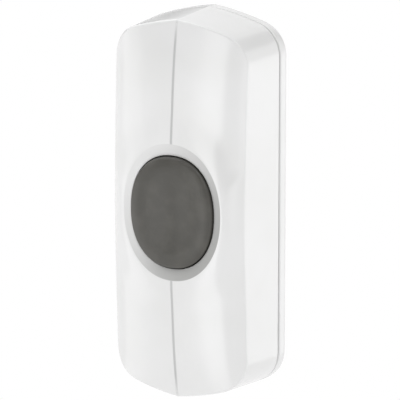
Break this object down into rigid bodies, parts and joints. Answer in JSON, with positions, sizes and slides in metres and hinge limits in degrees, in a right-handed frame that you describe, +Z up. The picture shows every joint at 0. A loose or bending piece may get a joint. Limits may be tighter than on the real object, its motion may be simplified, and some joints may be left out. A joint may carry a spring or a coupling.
{
  "type": "wireless doorbell push",
  "caption": "Slim white wireless doorbell push with a ridged front, arched ends and a dark oval finger pad in a shallow bowl; hinged cover, coin cell inside.",
  "frame": {"origin": "centre of the back plate's flat wall face", "axes": "+Z up the wall, -Y out of the wall towards the visitor, +X to the visitor's right"},
  "size_m": [0.037, 0.0219, 0.0898],
  "materials": {
    "white_casing": "gloss",
    "grey_pad": "satin",
    "silicone": "matt",
    "gasket": "matt",
    "board_green": "satin",
    "black_plastic": "satin",
    "ivory_plastic": "satin",
    "ceramic": "satin",
    "tinned": "satin",
    "steel": "satin",
    "aluminium": "satin",
    "copper": "satin"
  },
  "bodies": {
    "base": {"back_plate": "white_casing", "rim_gasket": "gasket"},
    "front": {"front_cover": "white_casing", "button_boot": "silicone", "circuit_board": "board_green", "board_screws": "steel", "bell_switch_body": "black_plastic", "bell_switch_frame": "tinned", "tune_switch_body": "ivory_plastic", "encoder_chip": "black_plastic", "encoder_leads": "tinned", "resonator_can": "tinned", "rf_transistor": "black_plastic", "transistor_leads": "tinned", "chip_resistors": "black_plastic", "chip_capacitors": "ceramic", "reservoir_capacitor": "aluminium", "aerial_coil": "copper", "battery_holder": "black_plastic", "battery_clip": "tinned", "battery_contact": "tinned", "cell_can": "steel", "cell_seal": "black_plastic", "cell_cap": "steel"},
    "pad": {"button_cap": "grey_pad"},
    "bell_plunger": {"bell_switch_plunger": "black_plastic"},
    "tune_plunger": {"tune_switch_plunger": "black_plastic"}
  },
  "joints": [
    {"name": "cover_hinge", "type": "hinge", "parent": "base", "child": "front", "pos_m": [0, -0.0033, 0.045], "axis": [-1, 0, 0], "range_deg": [0, 20]},
    {"name": "pad_press", "type": "slide", "parent": "front", "child": "pad", "axis": [0, 1, 0], "range_m": [0, 0.0008], "stiffness_N_per_m": 400, "springref_m": -0.0005, "deforming": ["button_boot"]},
    {"name": "bell_plunger_slide", "type": "slide", "parent": "front", "child": "bell_plunger", "axis": [0, 1, 0], "range_m": [0, 0.00024]},
    {"name": "tune_plunger_slide", "type": "slide", "parent": "front", "child": "tune_plunger", "axis": [0, -1, 0], "range_m": [0, 0.00025], "stiffness_N_per_m": 400, "springref_m": -0.0003}
  ],
  "couplings": [
    {"joint": "bell_plunger_slide", "follows": "pad_press", "ratio": 0.3}
  ]
}
